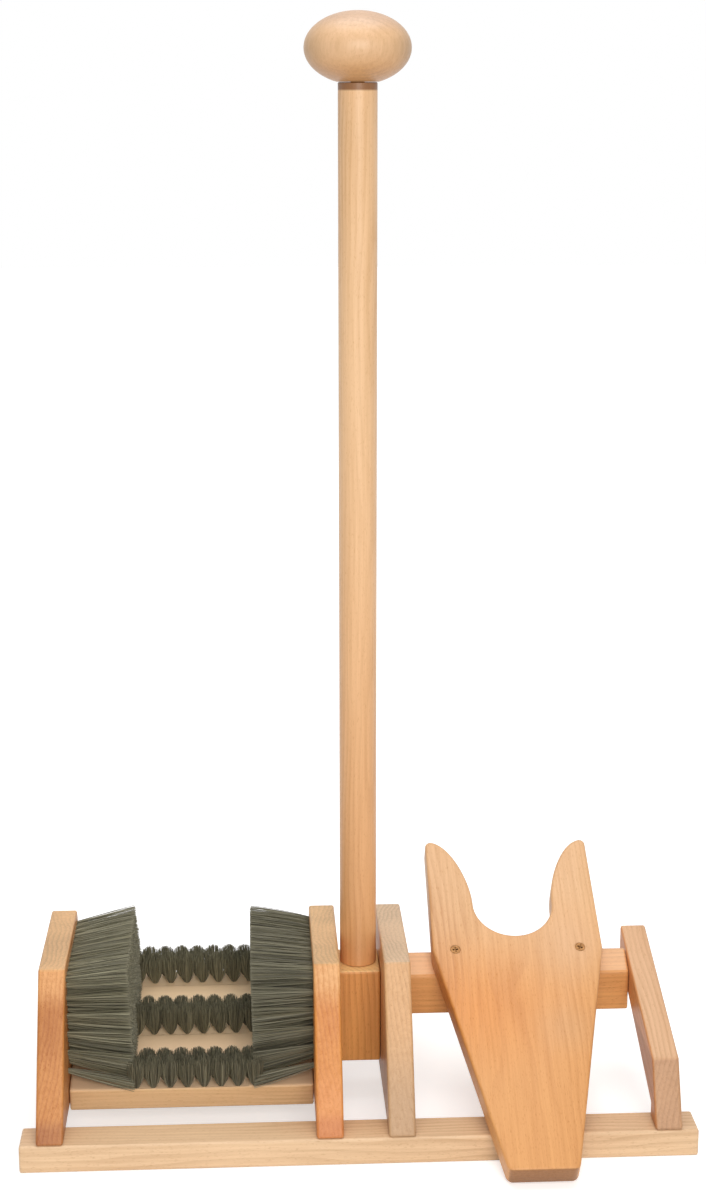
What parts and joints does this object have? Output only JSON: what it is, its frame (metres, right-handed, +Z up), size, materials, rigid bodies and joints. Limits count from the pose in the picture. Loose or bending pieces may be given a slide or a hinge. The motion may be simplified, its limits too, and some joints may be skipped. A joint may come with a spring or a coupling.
{
  "type": "boot scraper",
  "caption": "Beech boot scraper with two side brushes, a sloping bottom brush, a tall round handle with a knob, and a sloping boot jack with a heel notch.",
  "frame": {"origin": "middle of the front rail's underside, on the floor", "axes": "+Z up along the handle, +X to the right with the brushes on the left, +Y from the front rail to the rear rail"},
  "size_m": [0.5, 0.2831, 0.8209],
  "materials": {
    "beech_rail": "oiled pale beech",
    "beech_upright": "oiled beech",
    "beech_inner": "oiled beech, darker",
    "beech_jack": "oiled beech",
    "beech_turned": "oiled beech, turned smooth",
    "bristle": "stiff dark olive-grey fibre",
    "screw_steel": "yellow-passivated steel"
  },
  "bodies": {
    "root": {"front_rail": "beech_rail", "rear_rail": "beech_rail", "left_side_board": "beech_upright", "middle_left_board": "beech_upright", "middle_right_board": "beech_upright", "right_arm": "beech_upright", "pole_block": "beech_inner", "crossbar": "beech_inner", "brush_plank": "beech_inner", "boot_jack": "beech_jack", "handle_pole": "beech_turned", "handle_knob": "beech_turned", "knob_dowel": "beech_turned", "pole_block_dowel_1": "beech_turned", "pole_block_dowel_2": "beech_turned", "pole_block_dowel_3": "beech_turned", "pole_block_dowel_4": "beech_turned", "crossbar_dowel_1": "beech_turned", "crossbar_dowel_2": "beech_turned", "crossbar_dowel_3": "beech_turned", "crossbar_dowel_4": "beech_turned", "bottom_bristles_front": "bristle", "bottom_bristles_middle": "bristle", "bottom_bristles_rear": "bristle", "left_bristles": "bristle", "right_bristles": "bristle", "front_rail_screw_1": "screw_steel", "front_rail_screw_2": "screw_steel", "front_rail_screw_3": "screw_steel", "front_rail_screw_4": "screw_steel", "rear_rail_screw_1": "screw_steel", "rear_rail_screw_2": "screw_steel", "rear_rail_screw_3": "screw_steel", "brush_plank_screw_1": "screw_steel", "brush_plank_screw_2": "screw_steel", "brush_plank_screw_3": "screw_steel", "brush_plank_screw_4": "screw_steel", "jack_screw_1": "screw_steel", "jack_screw_2": "screw_steel"}
  },
  "joints": []
}
